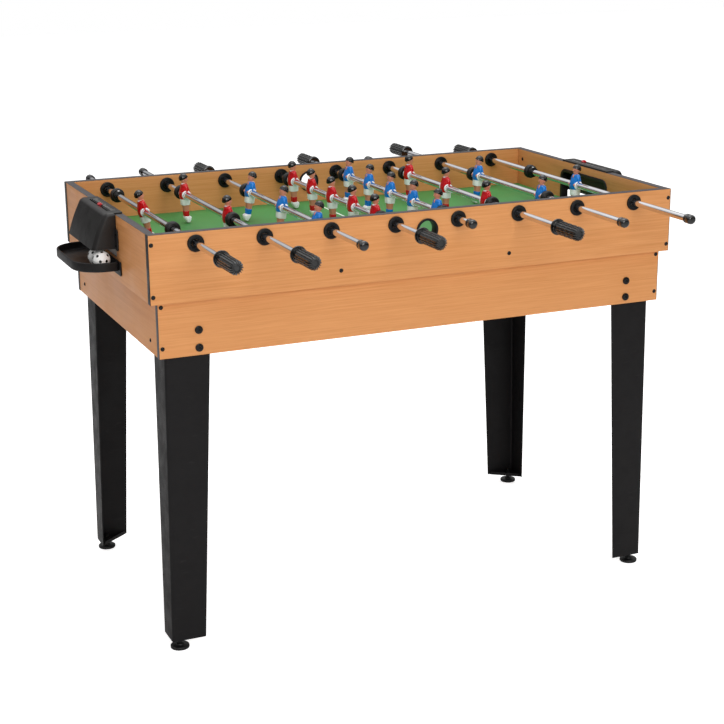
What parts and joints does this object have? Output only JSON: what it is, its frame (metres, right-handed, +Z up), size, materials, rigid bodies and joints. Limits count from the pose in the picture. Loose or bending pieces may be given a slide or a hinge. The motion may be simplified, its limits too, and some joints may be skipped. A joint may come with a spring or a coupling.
{
  "type": "foosball table",
  "caption": "Free-standing foosball table: beech-look cabinet on angle legs, sliding and spinning rods with figures, goal hoods with ball trays and score sliders.",
  "frame": {"origin": "on the floor, below the middle of the cabinet", "axes": "+X along the table towards the goal that the red figures face, +Y across it towards the far side, +Z up"},
  "size_m": [1.2286, 1.0958, 0.8254],
  "materials": {
    "laminate": "beech-look laminated board with black edge banding",
    "field": "green printed playfield board",
    "leg_steel": "black powder-coated sheet steel",
    "rod_chrome": "chromed steel tube",
    "grip": "black ribbed moulded grip",
    "bumper_rubber": "black rubber",
    "housing": "black fine-textured moulded plastic",
    "pointer": "red moulded plastic",
    "red_team": "painted moulded figure with a red shirt",
    "blue_team": "painted moulded figure with a blue shirt"
  },
  "bodies": {
    "cabinet": {"side_panel_near": "laminate", "side_panel_far": "laminate", "end_panel_left": "laminate", "end_panel_right": "laminate", "playfield": "field", "lower_frame": "laminate", "leg_near_left": "leg_steel", "leg_near_right": "leg_steel", "leg_far_left": "leg_steel", "leg_far_right": "leg_steel", "goal_housing_left": "housing", "goal_housing_right": "housing"},
    "score_slider_left": {"score_slider_left": "pointer"},
    "score_slider_right": {"score_slider_right": "pointer"},
    "rod_1_carriage": {"rod_1_bumper": "bumper_rubber"},
    "rod_1": {"rod_1_shaft": "rod_chrome", "rod_1_handle": "grip", "rod_1_man_1": "red_team"},
    "rod_2_carriage": {"rod_2_bumper": "bumper_rubber"},
    "rod_2": {"rod_2_shaft": "rod_chrome", "rod_2_handle": "grip", "rod_2_man_1": "red_team", "rod_2_man_2": "red_team"},
    "rod_3_carriage": {"rod_3_bumper": "bumper_rubber"},
    "rod_3": {"rod_3_shaft": "rod_chrome", "rod_3_handle": "grip", "rod_3_man_1": "blue_team", "rod_3_man_2": "blue_team", "rod_3_man_3": "blue_team"},
    "rod_4_carriage": {"rod_4_bumper": "bumper_rubber"},
    "rod_4": {"rod_4_shaft": "rod_chrome", "rod_4_handle": "grip", "rod_4_man_1": "red_team", "rod_4_man_2": "red_team", "rod_4_man_3": "red_team", "rod_4_man_4": "red_team", "rod_4_man_5": "red_team"},
    "rod_5_carriage": {"rod_5_bumper": "bumper_rubber"},
    "rod_5": {"rod_5_shaft": "rod_chrome", "rod_5_handle": "grip", "rod_5_man_1": "blue_team", "rod_5_man_2": "blue_team", "rod_5_man_3": "blue_team", "rod_5_man_4": "blue_team", "rod_5_man_5": "blue_team"},
    "rod_6_carriage": {"rod_6_bumper": "bumper_rubber"},
    "rod_6": {"rod_6_shaft": "rod_chrome", "rod_6_handle": "grip", "rod_6_man_1": "red_team", "rod_6_man_2": "red_team", "rod_6_man_3": "red_team"},
    "rod_7_carriage": {"rod_7_bumper": "bumper_rubber"},
    "rod_7": {"rod_7_shaft": "rod_chrome", "rod_7_handle": "grip", "rod_7_man_1": "blue_team", "rod_7_man_2": "blue_team"},
    "rod_8_carriage": {"rod_8_bumper": "bumper_rubber"},
    "rod_8": {"rod_8_shaft": "rod_chrome", "rod_8_handle": "grip", "rod_8_man_1": "blue_team"}
  },
  "joints": [
    {"name": "rod_1_slide", "type": "slide", "parent": "cabinet", "child": "rod_1_carriage", "axis": [0, 1, 0], "range_m": [-0.11025, 0.06615]},
    {"name": "rod_1_spin", "type": "hinge", "parent": "rod_1_carriage", "child": "rod_1", "pos_m": [-0.4494, 0.02205, 0.7822], "axis": [0, 1, 0], "continuous": true},
    {"name": "rod_2_slide", "type": "slide", "parent": "cabinet", "child": "rod_2_carriage", "axis": [0, 1, 0], "range_m": [-0.14813, 0.08887]},
    {"name": "rod_2_spin", "type": "hinge", "parent": "rod_2_carriage", "child": "rod_2", "pos_m": [-0.321, 0.02962, 0.7822], "axis": [0, 1, 0], "continuous": true},
    {"name": "rod_3_slide", "type": "slide", "parent": "cabinet", "child": "rod_3_carriage", "axis": [0, 1, 0], "range_m": [-0.01971, 0.12629]},
    {"name": "rod_3_spin", "type": "hinge", "parent": "rod_3_carriage", "child": "rod_3", "pos_m": [-0.1926, -0.05329, 0.7822], "axis": [0, 1, 0], "continuous": true},
    {"name": "rod_4_slide", "type": "slide", "parent": "cabinet", "child": "rod_4_carriage", "axis": [0, 1, 0], "range_m": [-0.04095, 0.03705]},
    {"name": "rod_4_spin", "type": "hinge", "parent": "rod_4_carriage", "child": "rod_4", "pos_m": [-0.0642, 0.00195, 0.7822], "axis": [0, 1, 0], "continuous": true},
    {"name": "rod_5_slide", "type": "slide", "parent": "cabinet", "child": "rod_5_carriage", "axis": [0, 1, 0], "range_m": [-0.03997, 0.03803]},
    {"name": "rod_5_spin", "type": "hinge", "parent": "rod_5_carriage", "child": "rod_5", "pos_m": [0.0642, 0.00097, 0.7822], "axis": [0, 1, 0], "continuous": true},
    {"name": "rod_6_slide", "type": "slide", "parent": "cabinet", "child": "rod_6_carriage", "axis": [0, 1, 0], "range_m": [-0.08094, 0.07106]},
    {"name": "rod_6_spin", "type": "hinge", "parent": "rod_6_carriage", "child": "rod_6", "pos_m": [0.1926, 0.00494, 0.7822], "axis": [0, 1, 0], "continuous": true},
    {"name": "rod_7_slide", "type": "slide", "parent": "cabinet", "child": "rod_7_carriage", "axis": [0, 1, 0], "range_m": [-0.08887, 0.14813]},
    {"name": "rod_7_spin", "type": "hinge", "parent": "rod_7_carriage", "child": "rod_7", "pos_m": [0.321, -0.02962, 0.7822], "axis": [0, 1, 0], "continuous": true},
    {"name": "rod_8_slide", "type": "slide", "parent": "cabinet", "child": "rod_8_carriage", "axis": [0, 1, 0], "range_m": [-0.00353, 0.17287]},
    {"name": "rod_8_spin", "type": "hinge", "parent": "rod_8_carriage", "child": "rod_8", "pos_m": [0.4494, -0.08467, 0.7822], "axis": [0, 1, 0], "continuous": true},
    {"name": "score_slider_left_slide", "type": "slide", "parent": "cabinet", "child": "score_slider_left", "axis": [0, 1, 0], "range_m": [-0.06, 0.064]},
    {"name": "score_slider_right_slide", "type": "slide", "parent": "cabinet", "child": "score_slider_right", "axis": [0, 1, 0], "range_m": [-0.096, 0.028]}
  ]
}
